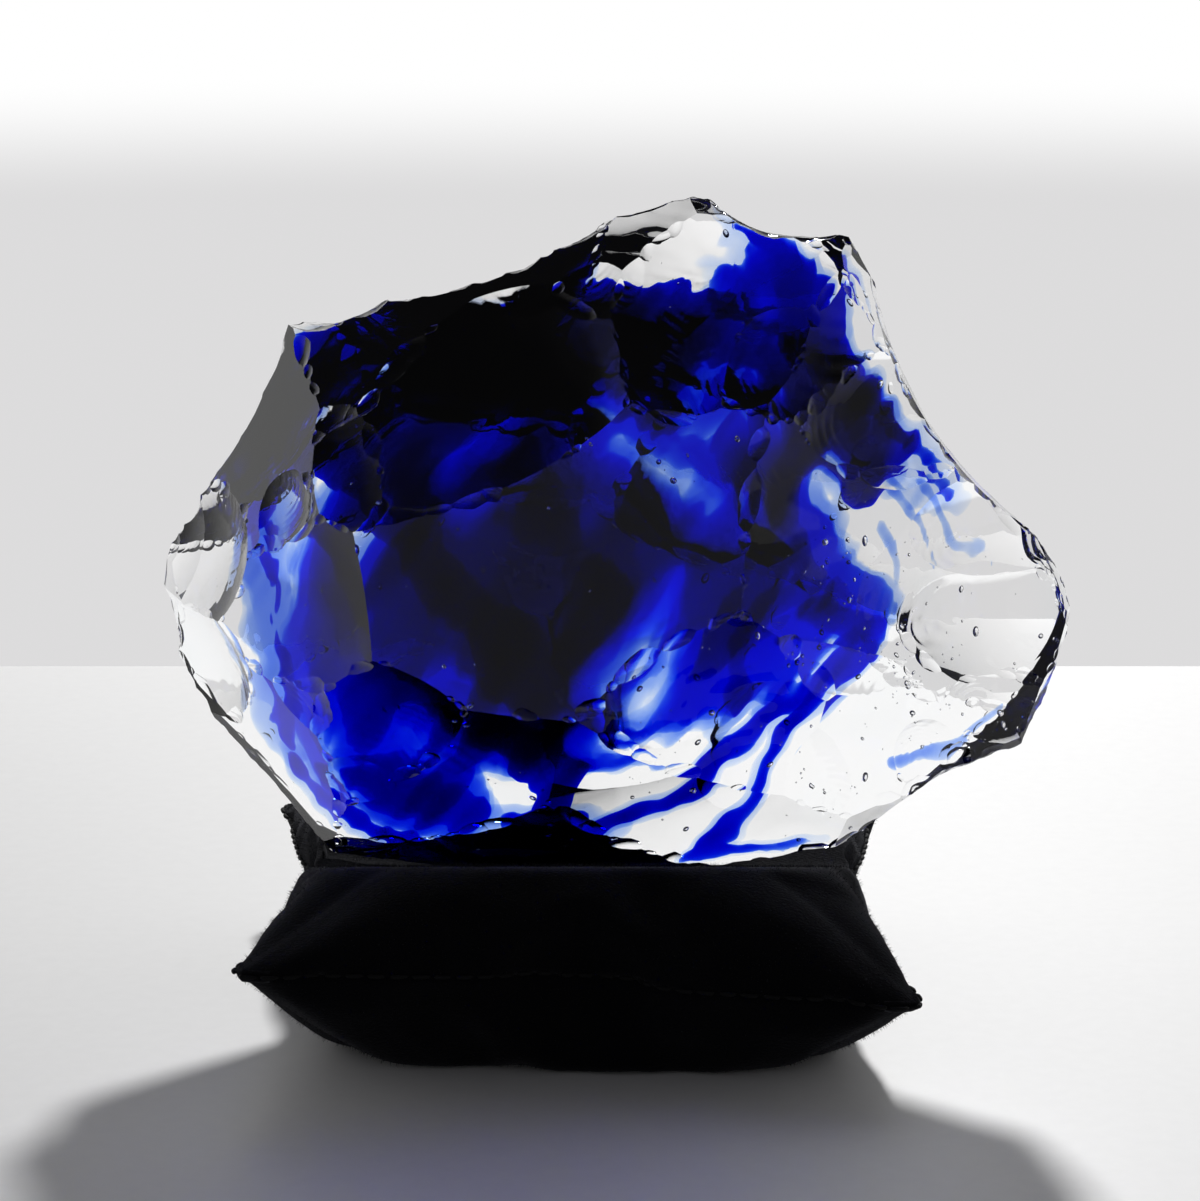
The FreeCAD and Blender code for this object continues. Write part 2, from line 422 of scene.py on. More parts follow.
# %% Broad scars
BROAD_SCARS = [
    # place (right, back, up), way, radius, depth, blow from, ripple, pitch, stretch
    ((0.47, 0.0, 0.41), (0.03, -0.99, 0.10), 150, 1.9, (0.2, 0, 1), 0.030, 3.4, 1.5),
    ((0.33, 0.1, 0.80), (-0.15, -0.72, 0.68), 52, 2.2, (-0.3, 0, 1), 0.060, 2.4, 1.3),
    ((0.58, 0.1, 0.90), (-0.02, -0.70, 0.72), 30, 2.0, (0.1, 0, 1), 0.110, 1.5, 1.5),
    ((0.72, 0.1, 0.80), (0.42, -0.78, 0.46), 46, 2.4, (0.6, 0, 1), 0.060, 2.6, 1.2),
    ((0.46, 0.3, 0.93), (-0.30, -0.66, 0.70), 17, 1.1, (-0.2, 0, 1), 0.070, 1.2, 1.6),
    ((0.53, 0.2, 0.92), (0.10, -0.62, 0.78), 13, 1.0, (0.0, 0, 1), 0.070, 1.1, 1.4),
    ((0.60, 0.2, 0.95), (0.05, -0.80, 0.60), 12, 0.9, (0.2, 0, 1), 0.060, 1.0, 1.5),
    ((0.56, 0.1, 0.86), (-0.10, -0.84, 0.54), 16, 1.0, (-0.3, 0, 1), 0.060, 1.2, 1.7),
    ((0.66, 0.1, 0.88), (0.25, -0.80, 0.55), 14, 1.0, (0.5, 0, 1), 0.060, 1.1, 1.4),
    ((0.40, 0.1, 0.86), (-0.20, -0.70, 0.68), 20, 1.1, (-0.5, 0, 1), 0.050, 1.4, 1.8),
    ((0.78, 0.1, 0.70), (0.55, -0.78, 0.30), 24, 1.3, (1, 0, 0.6), 0.060, 1.4, 1.5),
    ((0.88, 0.1, 0.52), (0.50, -0.85, 0.15), 18, 0.7, (1, 0, 0.3), 0.050, 1.2, 1.5),
    ((0.80, 0.1, 0.34), (0.20, -0.95, -0.10), 30, 0.5, (1, 0, -0.6), 0.040, 1.6, 1.5),
    ((0.74, 0.1, 0.16), (0.20, -0.93, -0.30), 26, 0.5, (0.6, 0, -1), 0.040, 1.3, 1.4),
    ((0.86, 0.1, 0.18), (0.35, -0.88, -0.40), 11, 0.6, (0.5, 0, -1), 0.040, 0.9, 1.3),
    ((0.80, 1.0, 0.24), (0.20, 0.92, -0.30), 34, 0.6, (1, 0, -1), 0.045, 1.5, 1.5),
    ((0.70, 1.0, 0.14), (0.15, 0.90, -0.40), 20, 0.6, (0, 0, -1), 0.045, 1.2, 1.4),
    ((0.20, 0.1, 0.74), (-0.55, -0.72, 0.42), 22, 1.2, (-1, 0, 0.6), 0.050, 1.4, 1.4),
    ((0.10, 0.2, 0.62), (-0.80, -0.50, 0.30), 12, 1.2, (-1, 0, 0.5), 0.060, 1.0, 1.4),
    ((0.12, 0.1, 0.26), (-0.60, -0.72, -0.35), 16, 1.1, (-1, 0, -0.6), 0.050, 1.1, 1.4),
    ((0.20, 0.1, 0.10), (-0.35, -0.80, -0.50), 14, 1.2, (-0.6, 0, -1), 0.060, 1.1, 1.5),
    ((0.84, 0.1, 0.42), (0.40, -0.90, 0.15), 44, 0.7, (1, 0, 0.2), 0.070, 2.2, 1.2),
    ((0.90, 0.1, 0.28), (0.45, -0.85, -0.25), 26, 0.6, (1, 0, -0.6), 0.060, 1.8, 1.0),
    ((0.64, 0.0, 0.22), (0.15, -0.95, -0.25), 64, 1.9, (0.4, 0, -1), 0.045, 2.8, 1.3),
    ((0.14, 0.1, 0.36), (-0.66, -0.75, 0.05), 74, 1.3, (-0.5, 0, 1), 0.025, 3.0, 1.2),
    ((0.05, 0.4, 0.52), (-0.92, -0.35, 0.15), 22, 2.2, (-0.2, 1, 0.6), 0.090, 1.3, 1.2),
    ((0.06, 0.4, 0.30), (-0.88, -0.35, -0.30), 28, 1.4, (-0.2, 1, -0.4), 0.060, 1.8, 1.2),
    ((0.24, 0.0, 0.18), (-0.30, -0.85, -0.42), 34, 2.0, (-0.5, 0, -0.6), 0.080, 1.6, 1.2),
    ((0.41, 1.0, 0.47), (0.0, 0.98, 0.15), 80, 3.0, (0.3, 0, 1), 0.060, 3.0, 1.2),
    ((0.70, 1.0, 0.64), (0.30, 0.90, 0.30), 46, 2.8, (0.8, 0, 1), 0.080, 2.4, 1.2),
    ((0.85, 0.8, 0.37), (0.60, 0.80, 0.0), 38, 0.6, (1, 0, 0), 0.080, 2.2, 1.2),
    ((0.16, 1.0, 0.62), (-0.55, 0.78, 0.25), 40, 2.6, (-1, 0, 0.6), 0.070, 2.4, 1.2),
    ((0.37, 0.9, 0.86), (-0.10, 0.80, 0.60), 32, 2.4, (0, 0, 1), 0.090, 1.8, 1.2),
    ((0.30, 1.0, 0.25), (-0.15, 0.90, -0.40), 50, 2.4, (-0.4, 0, -1), 0.070, 2.4, 1.2),
    ((0.62, 1.0, 0.30), (0.20, 0.92, -0.30), 44, 2.4, (0.4, 0, -1), 0.070, 2.0, 1.2),
]


RAY_START = 80 * MM                          # how far outside a place its ray begins


def onto_surface(place, way):
    """Where a ray that comes in from outside, against the way, meets the lump's skin."""
    way = Vector(way).normalized()
    start = Vector(place) + way * RAY_START
    hit, spot, _, _ = lump.ray_cast(start, -way)
    return spot if hit else Vector(place)


# The lump was thinned first, most of all at its right side, its crest and its back. Each row is the
# deepest place of a flake's dish, in mm from the frame's origin on the table, the way it looks, the
# dish's radius, where the blow came from, and how high its ripples are.
THINNING_FLAKES = [
    ((40, 1.8, 70), (0.34, 0.91, 0.10), 170, (1, 0, 0.6), 0.03),
    ((38, 0.2, 40), (0.20, 0.90, -0.38), 150, (1, 0, -1), 0.03),
    ((42, -13.4, 62), (0.30, -0.95, 0.06), 170, (1, 0, 0.4), 0.02),
    ((38, -12.4, 39), (0.20, -0.93, -0.32), 140, (1, 0, -1), 0.02),
    ((14, 5.2, 98), (0.04, 0.955, 0.29), 130, (0, 0, 1), 0.04),
    ((-5, 7.0, 97), (-0.08, 0.95, 0.30), 110, (0, 0, 1), 0.05),
    ((-45, 13.2, 54), (-0.15, 0.985, -0.03), 120, (-1, 0, 0), 0.03),
]
THINNING_DEPTH = 3.0
THINNING_PITCH = 3.2                         # mm from one ripple to the next
thinning = []
for place, way, radius, blow, ripple in THINNING_FLAKES:
    start = Vector(place) * MM + Vector(way).normalized() * THINNING_DEPTH * MM
    thinning.append(flake_lens(start, way, radius, THINNING_DEPTH, blow, ripple, THINNING_PITCH,
                               rings=30))
take_flakes_off(lump, thinning)

lenses = []
for place, way, radius, depth, blow, ripple, pitch, stretch in BROAD_SCARS:
    lenses.append(flake_lens(onto_surface(at(*place), way), way, radius, depth, blow,
                             ripple, pitch, stretch))
take_flakes_off(lump, lenses)

# %% [markdown]
# ### Nibbled edges
#
# Where two scars meet, the edge is too thin to last, and small chips leave it. Each chip is a rough
# ball that bites the edge. The bites are thrown along the lump's sharp edges with a seeded draw, so
# the same chips come off at every run.

# %% Chips along the sharp edges
SHARP_ANGLE = math.radians(24)
CHIPS = 760
RIM_SHARE = 2.5                              # how much more often the rim is hit than other edges
SMALLEST_CHIP = 0.9                          # radii in mm
CHIP_SPREAD = 5.6
draw = np.random.default_rng(71)


def ball_points(subdivisions):
    """The corners and faces of a ball of radius 1."""
    body = bmesh.new()
    bmesh.ops.create_icosphere(body, subdivisions=subdivisions, radius=1.0)
    points = np.array([v.co for v in body.verts])
    faces = [tuple(v.index for v in face.verts) for face in body.faces]
    body.free()
    return points, faces


def sharp_edges(mesh):
    """Middle, direction, length and the two face normals of every sharp, convex edge."""
    body = bmesh.new()
    body.from_mesh(mesh)
    found = []
    for edge in body.edges:
        if len(edge.link_faces) == 2 and edge.calc_face_angle_signed(0.0) > SHARP_ANGLE:
            middle = (edge.verts[0].co + edge.verts[1].co) / 2
            along = edge.verts[1].co - edge.verts[0].co
            normals = [face.normal.copy() for face in edge.link_faces]
            found.append((middle, along, edge.calc_length(), normals))
    body.free()
    return found


def chip(edge, ball):
    """A rough ball that bites into an edge."""
    middle, along, _, normals = edge
    lean = draw.uniform(0.25, 0.75)
    way = (normals[0] * lean + normals[1] * (1 - lean)).normalized()
    radius = (SMALLEST_CHIP + CHIP_SPREAD * draw.uniform(0, 1) ** 2.0) * MM
    depth = draw.uniform(0.12, 0.24) * math.sqrt(radius / MM) * 1.5 * MM
    stretch = np.array([draw.uniform(0.9, 1.8), draw.uniform(0.7, 1.1), 1.0])
    start = middle + along * draw.uniform(-0.5, 0.5)
    turn = np.array(frame_along(way, along + Vector(draw.normal(0, 0.4, 3)) * along.length))
    rough = ball[0] * (1 + draw.normal(0, 0.012, len(ball[0]))[:, None])
    rough = (rough * stretch * radius) @ turn.T
    centre = np.array(start + way * (radius - depth))
    return rough + centre, ball[1]


edges = sharp_edges(lump.data)
on_rim = np.array([edge[3][0].y * edge[3][1].y < 0 for edge in edges])
weights = np.array([edge[2] for edge in edges]) * np.where(on_rim, RIM_SHARE, 1.0)
print(len(edges), "sharp edges,", round(weights.sum() / MM), "mm in all")
ball = ball_points(3)
picks = draw.choice(len(edges), CHIPS, p=weights / weights.sum())
take_flakes_off(lump, [chip(edges[i], ball) for i in picks])

# %% [markdown]
# ### Bubbles
#
# Furnace glass that was never fined keeps its bubbles. Each is a real hollow: a ball inside the lump
# whose faces look inwards, so light bends at it as it does at the skin. To know what is inside, the
# lump is measured once on a grid of small cubes that hold the distance to its skin. OpenVDB, which
# Blender brings along, makes that grid in a second.

# %% Depth under the skin, on a grid
CUBE = 0.6 * MM
REACH = 12                                   # cubes on each side of the skin that hold a distance


def triangles_of(mesh):
    mesh.calc_loop_triangles()
    points = np.zeros(len(mesh.vertices) * 3, np.float32)
    mesh.vertices.foreach_get("co", points)
    corners = np.zeros(len(mesh.loop_triangles) * 3, np.int32)
    mesh.loop_triangles.foreach_get("vertices", corners)
    return points.reshape(-1, 3), corners.reshape(-1, 3)


def depth_grid(mesh):
    """Depth under a closed mesh's skin, positive inside, for every cube of the lump's box."""
    points, corners = triangles_of(mesh)
    level = openvdb.FloatGrid.createLevelSetFromPolygons(
        points, triangles=corners, transform=openvdb.createLinearTransform(CUBE), halfWidth=REACH)
    low = np.floor(points.min(0) / CUBE).astype(int) - 2
    high = np.ceil(points.max(0) / CUBE).astype(int) + 3
    values = np.zeros(high - low, np.float32)
    level.copyToArray(values, ijk=tuple(int(i) for i in low))
    return -values, low


depth, first_cube = depth_grid(lump.data)
print("grid", depth.shape, "deepest", round(float(depth.max()) / MM, 2), "mm")


def depth_at(point):
    i = np.round(np.array(point) / CUBE).astype(int) - first_cube
    return float(depth[tuple(i)]) if np.all(i >= 0) and np.all(i < depth.shape) else -1.0


# %% Bubbles as hollow balls
BUBBLES = 380
SMALLEST_BUBBLE = 0.08                       # radii in mm
BUBBLE_SPREAD = 0.40
BUBBLE_COVER = 0.5                           # mm of glass between a bubble and the skin
ROUNDER_ABOVE = 0.30 * MM                    # bubbles with a larger radius get a finer mesh
CLEAR_ZONE = ((0.68, 0.0, 0.0), (0.97, 1.0, 0.55))
WHOLE_LUMP = ((0.0, 0.0, 0.0), (1.0, 1.0, 1.0))
BUBBLE_TAG = -1                              # the flake number of a bubble's faces


def bubble_places():
    places = []
    while len(places) < BUBBLES:
        # Two in five of them lie in the clear glass on the right.
        place = at(*draw.uniform(*(CLEAR_ZONE if len(places) % 5 < 2 else WHOLE_LUMP)))
        size = SMALLEST_BUBBLE + BUBBLE_SPREAD * draw.uniform(0, 1) ** 5
        if depth_at(place) > (size + BUBBLE_COVER) * MM:
            places.append((place, size * MM))
    return places


def blow_bubbles(target):
    body = bmesh.new()
    body.from_mesh(target.data)
    tag = body.faces.layers.int.get("flake")
    for place, size in bubble_places():
        squeeze = Vector((1, 1, draw.uniform(1.0, 1.8)))
        turn = Matrix.Rotation(draw.uniform(-0.9, 0.9), 4, "Y")
        shape = Matrix.Translation(place) @ turn @ Matrix.Diagonal((squeeze * size).to_4d())
        made = bmesh.ops.create_icosphere(body, subdivisions=3 if size > ROUNDER_ABOVE else 2,
                                          radius=1.0, matrix=shape)
        faces = {face for vert in made["verts"] for face in vert.link_faces}
        for face in faces:
            face[tag] = BUBBLE_TAG
        bmesh.ops.reverse_faces(body, faces=list(faces))
    body.to_mesh(target.data)
    body.free()


blow_bubbles(lump)
print("with bubbles", len(lump.data.polygons), "faces")


# %% Sharp between flakes, smooth across each
SHARP_ANYWHERE = math.radians(26)
SHARP_BETWEEN_FLAKES = math.radians(4)
SHARP_ON_PLANES = math.radians(9)


def keep_flake_edges_sharp(mesh):
    """An edge stays sharp where two flakes meet, but never on a bubble."""
    body = bmesh.new()
    body.from_mesh(mesh)
    tag = body.faces.layers.int.get("flake")
    for face in body.faces:
        face.smooth = True
    sharp = 0
    for edge in body.edges:
        one, two = edge.link_faces[0], edge.link_faces[-1]
        angle = edge.calc_face_angle(0.0)
        breaks = (angle > SHARP_ANYWHERE
                  or (one[tag] != two[tag] and angle > SHARP_BETWEEN_FLAKES)
                  or (one[tag] == UNFLAKED and angle > SHARP_ON_PLANES))
        edge.smooth = one[tag] == BUBBLE_TAG or not breaks
        sharp += not edge.smooth
    body.to_mesh(mesh)
    body.free()
    print(sharp, "sharp edges kept")


def drop_attribute(mesh, name):
    if name in mesh.attributes:
        mesh.attributes.remove(mesh.attributes[name])


for stale in ("custom_normal", "UVMap", "sharp_face"):
    drop_attribute(lump.data, stale)
keep_flake_edges_sharp(lump.data)
lump.data.materials.clear()
lump.data.materials.append(CLEAR_GLASS)
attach(lump, "lump")
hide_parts("clear_glass")

# %% [markdown]
# ## The cobalt, gathered inside
#
# The blue was stirred into the clear while both were soft, so its masses are drawn out into streaks
# and folded. A mesh pushed about by hand would never fold like that. Here a number is worked out for
# every small cube of the lump: how far inside the colour it lies. The CAD model's plain masses give
# the places, noise bends space so that they swirl, and clear windows are taken out. The surface where
# the number is zero becomes the mesh. The core has four such surfaces, a thin veil, the body, the dark
# heart and darker folds, and each streak has a veil with a heart in it.

# %% Space that swirls
X, Y, Z = [axis.astype(np.float32) * np.float32(CUBE / MM) for axis in np.meshgrid(
    *[np.arange(n) + first for n, first in zip(depth.shape, first_cube)], indexing="ij")]
LATTICE = 32


def cloud_noise(x, y, z, seed):
    """Smooth random numbers from -1 to 1, about one blob for every unit of length."""
    lattice = np.random.default_rng(seed).uniform(-1, 1, (LATTICE,) * 3).astype(np.float32)
    cells, blends = [], []
    for axis in (x, y, z):
        cell = np.floor(axis)
        part = axis - cell
        cells.append(cell.astype(np.int32) % LATTICE)
        blends.append(part * part * (3 - 2 * part))
    total = np.zeros_like(x)
    for corner in np.ndindex(2, 2, 2):
        weight = np.ones_like(x)
        index = []
        for cell, blend, step in zip(cells, blends, corner):
            weight = weight * (blend if step else 1 - blend)
            index.append((cell + step) % LATTICE)
        total += weight * lattice[tuple(index)]
    return total


# The streaks run up and to the right, so the noise is stretched that way, and they are sheets that
# go deep from front to back.
FLOW = math.radians(58)
along_flow = X * math.cos(FLOW) + Z * math.sin(FLOW)
across_flow = Z * math.cos(FLOW) - X * math.sin(FLOW)
streaks = cloud_noise(along_flow / 19, across_flow / 5.5, Y / 21, 11)
fine_streaks = (0.65 * cloud_noise(along_flow / 13, across_flow / 1.9, Y / 10, 12)
                + 0.35 * cloud_noise(along_flow / 7, across_flow / 1.0, Y / 6, 17))


def swirl(seed):
    """How far each cube is carried, in mm: wide slow folds, with smaller ones on them."""
    return (3.6 * cloud_noise(X / 17, Y / 15, Z / 17, seed)
            + 1.7 * cloud_noise(X / 6.5, Y / 6, Z / 6.5, seed + 1)
            + 0.5 * cloud_noise(X / 3.0, Y / 6, Z / 3.0, seed + 2))


swirl_x = swirl(13)
swirl_z = swirl(23)
swirled_x = X + swirl_x
swirled_y = Y + 0.7 * swirl_z
swirled_z = Z + swirl_z
print("space swirls by up to", round(float(np.abs(swirl_x).max()), 1), "mm")


# %% Shapes of colour
def mass_of(node_name, grow=0.0):
    """How far inside a CAD mass each cube lies, in mm, with space swirled."""
    mesh = frame["nodes"][node_name].data
    points = np.array([v.co for v in mesh.vertices]) / MM
    low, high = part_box(node_name)
    centre = np.array((low + high) / 2) / MM
    points = points - centre
    axes = np.linalg.eigh(points.T @ points)[1].T
    reach = np.abs(points @ axes.T).max(0)
    offset = (swirled_x - centre[0], swirled_y - centre[1], swirled_z - centre[2])
    total = sum(((axis[0] * offset[0] + axis[1] * offset[1] + axis[2] * offset[2])
                 / (half + grow)) ** 2 for axis, half in zip(axes, reach))
    return (1 - np.sqrt(total)) * float(min(reach) + grow)


FAR_OUTSIDE = -99.0                          # mm, less than any strand gives


def strand(places, radius, end_radius=None, flat=1.0):
    """How far inside a drawn-out strand each cube lies. places are shares of the lump's box, and
    the radius goes evenly to end_radius. A flat below 1 makes a ribbon that is deep from front to
    back."""
    end_radius = radius if end_radius is None else end_radius
    nodes = [np.array(at(*place)) / MM for place in places]
    best = np.full(X.shape, FAR_OUTSIDE, np.float32)
    for i, (start, end) in enumerate(zip(nodes, nodes[1:])):
        way = end - start
        offset = (swirled_x - start[0], (swirled_y - start[1]) * flat, swirled_z - start[2])
        t = np.clip(sum(o * w for o, w in zip(offset, way)) / float(way @ way), 0, 1)
        gap = np.sqrt(sum((o - t * w) ** 2 for o, w in zip(offset, way)))
        share = (i + t) / (len(nodes) - 1)
        np.maximum(best, radius + (end_radius - radius) * share - gap, out=best)
    return best


def union(*fields):
    total = fields[0]
    for field in fields[1:]:
        total = np.maximum(total, field)
    return total


OUTSIDE = -5.0                               # what the grid says beyond its cubes


def colour_piece(name, node_name, field, material, cover=0.45):
    """The closed surface where a field is zero, kept under the skin by cover mm."""
    inside = np.minimum(field, depth / np.float32(MM) - cover)
    grid = openvdb.FloatGrid(OUTSIDE)
    grid.copyFromArray(inside.astype(np.float32))
    points, quads = grid.convertToQuads(isovalue=0.0)
    if len(points) == 0:
        raise RuntimeError(f"{name} has no surface")
    mesh = bpy.data.meshes.new(name)
    places = (points + np.array(first_cube)) * CUBE
    mesh.from_pydata(places.tolist(), [], quads[:, ::-1].tolist())
    mesh.polygons.foreach_set("use_smooth", np.ones(len(mesh.polygons), bool))
    mesh.update()
    mesh.materials.append(material)
    piece = add_object(name, mesh)
    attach(piece, "lump")
    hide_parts(node_name)
    print(name, len(mesh.polygons), "faces")
    return piece


# %% [markdown]
# ### The core
#
# The largest gather fills the middle of the lump. Light still finds its way through at a few places
# where the clear glass was folded in, so those windows are taken out of it.

# %% Core
core = union(mass_of("cobalt_core", 1.0),
             strand([(0.22, 0.5, 0.36), (0.27, 0.5, 0.16)], 8.0),
             strand([(0.62, 0.5, 0.60), (0.73, 0.5, 0.44)], 7.0),
             strand([(0.26, 0.5, 0.70), (0.52, 0.5, 0.75), (0.76, 0.5, 0.68)], 7.0))
windows = union(strand([(0.52, 0.5, 0.65), (0.60, 0.5, 0.57)], 4.4, 3.2, 0.30),
                strand([(0.57, 0.5, 0.47), (0.54, 0.5, 0.38), (0.50, 0.5, 0.28)], 2.4, 5.0, 0.25),
                strand([(0.35, 0.5, 0.59), (0.41, 0.5, 0.65)], 2.2, 2.2, 0.30),
                strand([(0.34, 0.5, 0.10), (0.37, 0.5, 0.22)], 1.4, 0.9, 0.25),
                strand([(0.38, 0.5, 0.01), (0.55, 0.5, 0.14), (0.72, 0.5, 0.32)], 3.0, 1.6, 0.22))
core_body = np.minimum(core + 1.4 * streaks + 1.3 * fine_streaks, -windows + 1.3 * fine_streaks)
DARK_FROM = 72.0                             # mm up, where the core's heart begins to fill it
upper_dark = np.clip((Z - DARK_FROM) / 4.0, 0, 5.0)
core_heart = core - 5.5 + upper_dark + 8.0 * streaks + 3.0 * fine_streaks
core_heart = np.minimum(core_heart, -windows - 1.4 + 1.6 * fine_streaks)
folds = union(strand([(0.18, 0.5, 0.64), (0.34, 0.5, 0.76),
                      (0.52, 0.5, 0.78), (0.78, 0.5, 0.66)], 6.5),
              strand([(0.22, 0.5, 0.58), (0.33, 0.5, 0.69)], 6.0),
              strand([(0.27, 0.5, 0.56), (0.34, 0.5, 0.40), (0.42, 0.5, 0.22)], 3.6),
              strand([(0.43, 0.5, 0.60), (0.47, 0.5, 0.42), (0.43, 0.5, 0.12)], 3.4),
              strand([(0.62, 0.5, 0.66), (0.69, 0.5, 0.50), (0.64, 0.5, 0.32)], 3.2))
folds = np.minimum(folds + 2.5 * streaks + 2.2 * fine_streaks, -windows - 1.0 + 1.6 * fine_streaks)
core_veil = np.minimum(core + 1.0 + 1.6 * fine_streaks, -windows + 1.7 + 1.2 * fine_streaks)
colour_piece("cobalt_core_veil", "cobalt_core", core_veil, COBALT_VEIL)
colour_piece("cobalt_core_body", "cobalt_core", core_body, COBALT_BODY, 0.8)
colour_piece("cobalt_core_heart", "cobalt_core", core_heart, COBALT_HEART, 1.2)
colour_piece("cobalt_core_folds", "cobalt_core", folds, COBALT_FOLDS, 1.0)

# %% [markdown]
# ### Streaks round the core
#
# These were drawn off the core as the glass was turned, so they taper. Each has a thin veil with a
# dark heart in it, like ink in water.

# %% Streaks and clouds
brow = union(mass_of("cobalt_brow_cloud", 2.0),
             strand([(0.10, 0.5, 0.60), (0.16, 0.5, 0.78), (0.30, 0.5, 0.86)], 4.0, 5.0, 0.5))
crest = union(mass_of("cobalt_crest_streak", -2.0),
              strand([(0.612, 0.5, 1.0), (0.66, 0.5, 0.90), (0.715, 0.5, 0.78)], 1.5, 6.0, 0.4),
              strand([(0.72, 0.5, 0.86), (0.74, 0.5, 0.72)], 2.4, 4.0, 0.4),
              strand([(0.60, 0.5, 0.86), (0.64, 0.5, 0.78)], 0.8, 3.4, 0.4))
left_strip = union(mass_of("cobalt_left_veil", -0.6),
                   strand([(0.148, 0.5, 0.56), (0.150, 0.5, 0.36), (0.165, 0.5, 0.20)],
                          3.4, 3.0, 0.4))
left_cloud = union(mass_of("cobalt_left_cloud", 1.2),
                   strand([(0.17, 0.5, 0.16), (0.24, 0.5, 0.06)], 3.0, 2.0, 0.5))
heel = union(mass_of("cobalt_heel_ribbon", 0.8),
             strand([(0.26, 0.5, 0.05), (0.44, 0.5, 0.03), (0.52, 0.5, 0.06)], 3.0, 1.2, 0.5))
right = union(mass_of("cobalt_right_streak", -1.6),
              strand([(0.75, 0.5, 0.74), (0.81, 0.5, 0.67), (0.855, 0.5, 0.60)], 3.6, 1.2, 0.5))
STREAKS = [
    # name, CAD mass, field, how far in its heart begins
    ("cobalt_brow_glass", "cobalt_brow_cloud", brow, 0.2),
    ("cobalt_crest_glass", "cobalt_crest_streak", crest, 0.5),
    ("cobalt_left_strip_glass", "cobalt_left_veil", left_strip, 2.0),
    ("cobalt_left_cloud_glass", "cobalt_left_cloud", left_cloud, 0.8),
    ("cobalt_heel_glass", "cobalt_heel_ribbon", heel, 0.6),
    ("cobalt_right_glass", "cobalt_right_streak", right, 1.0),
]
for name, node_name, field, heart_depth in STREAKS:
    colour_piece(name + "_veil", node_name, field + 0.8 + 1.3 * fine_streaks, COBALT_VEIL)
    colour_piece(name + "_heart", node_name, field - heart_depth + 1.8 * fine_streaks,
                 COBALT_FOLDS if "brow" in name else COBALT_STREAK, 0.8)

# %% [markdown]
# ### Ribbons and wisps
#
# At the lower right the last of the blue was pulled out into flat ribbons that fan from one point,
# with clear glass between them.

# %% Ribbons and wisps
FAN_KNOT = (0.755, 0.45, 0.375)
ribbons = union(
    strand([(0.43, 0.45, 0.01), (0.54, 0.45, 0.12), (0.65, 0.45, 0.245), FAN_KNOT], 1.5, 1.0, 0.35),
    strand([(0.60, 0.45, 0.02), (0.645, 0.45, 0.14), (0.70, 0.45, 0.26), FAN_KNOT], 1.5, 1.2, 0.35),
    strand([(0.59, 0.45, 0.015), (0.67, 0.45, 0.04), (0.76, 0.45, 0.065)], 1.4, 0.6, 0.4),
    strand([(0.70, 0.45, 0.42), (0.77, 0.45, 0.385)], 2.6, 0.6, 0.4))
colour_piece("cobalt_fan_veil", "cobalt_lower_ribbon", ribbons + 0.7 + 0.9 * fine_streaks,
             COBALT_VEIL, 0.4)
colour_piece("cobalt_fan_heart", "cobalt_lower_ribbon", ribbons + 1.1 * fine_streaks,
             COBALT_STREAK, 0.5)
wisps = union(
    strand([(0.82, 0.4, 0.20), (0.87, 0.4, 0.225), (0.915, 0.4, 0.27)], 0.9, 0.5, 0.5),
    strand([(0.80, 0.4, 0.62), (0.83, 0.4, 0.54), (0.86, 0.4, 0.47)], 1.0, 0.4, 0.5),
    strand([(0.84, 0.4, 0.60), (0.89, 0.4, 0.53), (0.90, 0.4, 0.47)], 0.8, 0.3, 0.5),
    strand([(0.78, 0.4, 0.56), (0.80, 0.4, 0.47)], 1.0, 0.5, 0.5))
colour_piece("cobalt_wisps", "cobalt_right_wisp", wisps + 0.5 * fine_streaks, COBALT_BODY, 0.4)

# %% [markdown]
# ## The cushion
#
# Two squares of velvet are sewn together round the edge, turned and stuffed. Nobody draws the shape
# that this gives: the flat cloth has to go round a curved filling, so the sides pull in, the corners
# stay out as ears, and the seam puckers. So the cloth is simulated. It starts as two flat squares
# that share their edge, and air pressure stands for the stuffing. Nothing is in its way and it has no
# weight: the glass and the table shape it in the next step. The simulation runs at ten times the
# size, because cloth settings are made for things of about a metre.

# %% Two squares of velvet, sewn round the edge
CUSHION_LOW, CUSHION_SEAM_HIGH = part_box("cushion_bottom_panel")
CUSHION_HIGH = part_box("cushion_top_panel")[1]
CUSHION_MIDDLE = (CUSHION_LOW + CUSHION_HIGH) / 2
SEAM_HEIGHT = CUSHION_SEAM_HIGH.z
CLOTH_SCALE = 10.0
CLOTH_CELLS = 52        # across one square
CUT_SIDE = 96.0 * MM                          # the side of a flat square, between its seams
CORNER_CUT = 3.0 * MM                         # how much a sewn corner is rounded off
CORNER_PULL = 0.35
FIRST_LIFT = 0.4 * MM                         # keeps the two flat squares apart at the start


def rounded_square(u, v):
    """A place on the flat square, with u and v from -1 to 1."""
    half = CUT_SIDE / 2
    x, y = u * half, v * half
    over = max(0.0, abs(u) + abs(v) - (2 - CORNER_CUT / half))
    pull = over * half * CORNER_PULL
    return x - math.copysign(pull, x), y - math.copysign(pull, y)


